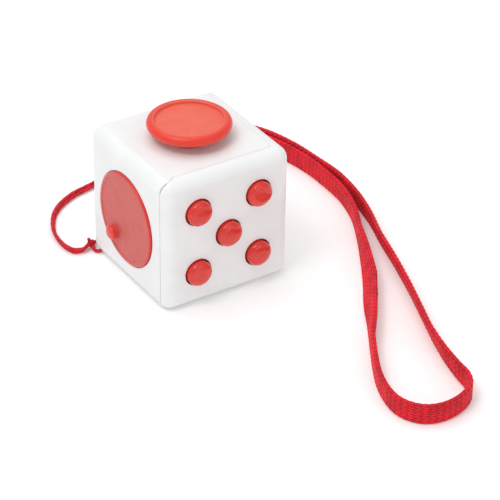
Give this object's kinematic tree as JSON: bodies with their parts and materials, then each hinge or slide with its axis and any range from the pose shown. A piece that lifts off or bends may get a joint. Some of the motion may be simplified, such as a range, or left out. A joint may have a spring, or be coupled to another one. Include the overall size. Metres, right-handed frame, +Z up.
{
  "type": "fidget cube",
  "caption": "Palm-sized fidget cube with click buttons, joystick cap, spin dial, rocker switch, thumb wheels, ball and thumb dish, on a braided wrist lanyard.",
  "frame": {"origin": "middle of the cube's footprint, on the surface it stands on", "axes": "+Z up through the joystick; -Y is the face with the buttons, -X the spin dial, +X the rocker switch, +Y the wheels and ball, -Z the thumb dish"},
  "size_m": [0.0703, 0.1278, 0.0375],
  "materials": {
    "white_shell": "satin moulded plastic with a fine grain",
    "button_red": "glossy, soft highlight",
    "coral_rubber": "matte soft-touch rubber",
    "scarlet_plastic": "semi-gloss moulded plastic",
    "dial_red": "finely textured matte face, smoother rim",
    "inner_grey": "plain moulded plastic",
    "steel": "plated steel",
    "spring_steel": "bare spring steel",
    "silicone": "translucent grey silicone rubber",
    "ball_chrome": "polished",
    "strap_braid": "flat braided nylon",
    "cord_braid": "thin braided nylon cord",
    "clamp_plastic": "crimped plastic sleeve"
  },
  "bodies": {
    "housing": {"shell_upper": "white_shell", "shell_lower": "white_shell", "shell_screw_1": "steel", "shell_screw_2": "steel", "thumb_dish": "coral_rubber", "snap_dome_1": "spring_steel", "snap_dome_2": "spring_steel", "snap_dome_3": "spring_steel", "soft_dome_1": "silicone", "soft_dome_2": "silicone", "button_carrier": "inner_grey", "carrier_screw_1": "steel", "carrier_screw_2": "steel", "carrier_screw_3": "steel", "carrier_screw_4": "steel", "joystick_socket": "inner_grey", "joystick_spring": "spring_steel", "socket_screw_1": "steel", "socket_screw_2": "steel", "rocker_pin": "steel", "rocker_frame": "inner_grey", "rocker_leaf": "spring_steel", "wheel_axle": "steel", "wheel_cradle": "inner_grey", "wheel_clicker": "spring_steel", "ball_guide": "inner_grey", "ball_spring": "spring_steel", "lanyard_hoop": "cord_braid", "lanyard_knot": "cord_braid", "lanyard_cord": "cord_braid", "lanyard_clamp": "clamp_plastic", "lanyard_strap": "strap_braid"},
    "button_1": {"button_1": "button_red"},
    "button_2": {"button_2": "button_red"},
    "button_3": {"button_3": "button_red"},
    "button_4": {"button_4": "button_red"},
    "button_5": {"button_5": "button_red"},
    "gimbal": {"gimbal_ring": "inner_grey"},
    "joystick": {"joystick_cap": "coral_rubber", "joystick_stem": "scarlet_plastic"},
    "dial": {"spin_dial": "dial_red", "dial_washer": "steel", "dial_screw": "steel"},
    "rocker": {"rocker": "scarlet_plastic"},
    "wheel_1": {"wheel_1": "scarlet_plastic"},
    "wheel_2": {"wheel_2": "scarlet_plastic"},
    "wheel_3": {"wheel_3": "scarlet_plastic"},
    "ball_carrier": {"ball_carrier": "inner_grey"},
    "ball": {"ball": "ball_chrome"}
  },
  "joints": [
    {"name": "press_1", "type": "slide", "parent": "housing", "child": "button_1", "axis": [0, 1, 0], "range_m": [0, 0.0007], "stiffness_N_per_m": 800, "springref_m": -0.0006, "deforming": ["snap_dome_1"]},
    {"name": "press_2", "type": "slide", "parent": "housing", "child": "button_2", "axis": [0, 1, 0], "range_m": [0, 0.0007], "stiffness_N_per_m": 500, "springref_m": -0.0006, "deforming": ["soft_dome_1"]},
    {"name": "press_3", "type": "slide", "parent": "housing", "child": "button_3", "axis": [0, 1, 0], "range_m": [0, 0.0007], "stiffness_N_per_m": 800, "springref_m": -0.0006, "deforming": ["snap_dome_2"]},
    {"name": "press_4", "type": "slide", "parent": "housing", "child": "button_4", "axis": [0, 1, 0], "range_m": [0, 0.0007], "stiffness_N_per_m": 500, "springref_m": -0.0006, "deforming": ["soft_dome_2"]},
    {"name": "press_5", "type": "slide", "parent": "housing", "child": "button_5", "axis": [0, 1, 0], "range_m": [0, 0.0007], "stiffness_N_per_m": 800, "springref_m": -0.0006, "deforming": ["snap_dome_3"]},
    {"name": "joystick_tilt_y", "type": "hinge", "parent": "housing", "child": "gimbal", "pos_m": [0, 0, 0.027], "axis": [0, 1, 0], "range_deg": [-8, 8], "stiffness_Nm_per_rad": 0.04, "deforming": ["joystick_spring"]},
    {"name": "joystick_tilt_x", "type": "hinge", "parent": "gimbal", "child": "joystick", "pos_m": [0, 0, 0.027], "axis": [1, 0, 0], "range_deg": [-8, 8], "stiffness_Nm_per_rad": 0.04, "deforming": ["joystick_spring"]},
    {"name": "dial_spin", "type": "hinge", "parent": "housing", "child": "dial", "pos_m": [-0.0165, 0, 0.0165], "axis": [-1, 0, 0], "continuous": true},
    {"name": "rocker_flip", "type": "hinge", "parent": "housing", "child": "rocker", "pos_m": [0.0129, 0, 0.0165], "axis": [0, 1, 0], "range_deg": [0, 16]},
    {"name": "wheel_spin_1", "type": "hinge", "parent": "housing", "child": "wheel_1", "pos_m": [-0.0044, 0.0129, 0.019], "axis": [1, 0, 0], "continuous": true},
    {"name": "wheel_spin_2", "type": "hinge", "parent": "housing", "child": "wheel_2", "pos_m": [0, 0.0129, 0.019], "axis": [1, 0, 0], "continuous": true},
    {"name": "wheel_spin_3", "type": "hinge", "parent": "housing", "child": "wheel_3", "pos_m": [0.0044, 0.0129, 0.019], "axis": [1, 0, 0], "continuous": true},
    {"name": "ball_press", "type": "slide", "parent": "housing", "child": "ball_carrier", "axis": [0, -1, 0], "range_m": [0, 0.0008], "stiffness_N_per_m": 600, "springref_m": -0.0006, "deforming": ["ball_spring"]},
    {"name": "ball_roll", "type": "hinge", "parent": "ball_carrier", "child": "ball", "pos_m": [0, 0.0144, 0.0086], "axis": [1, 0, 0], "continuous": true}
  ]
}
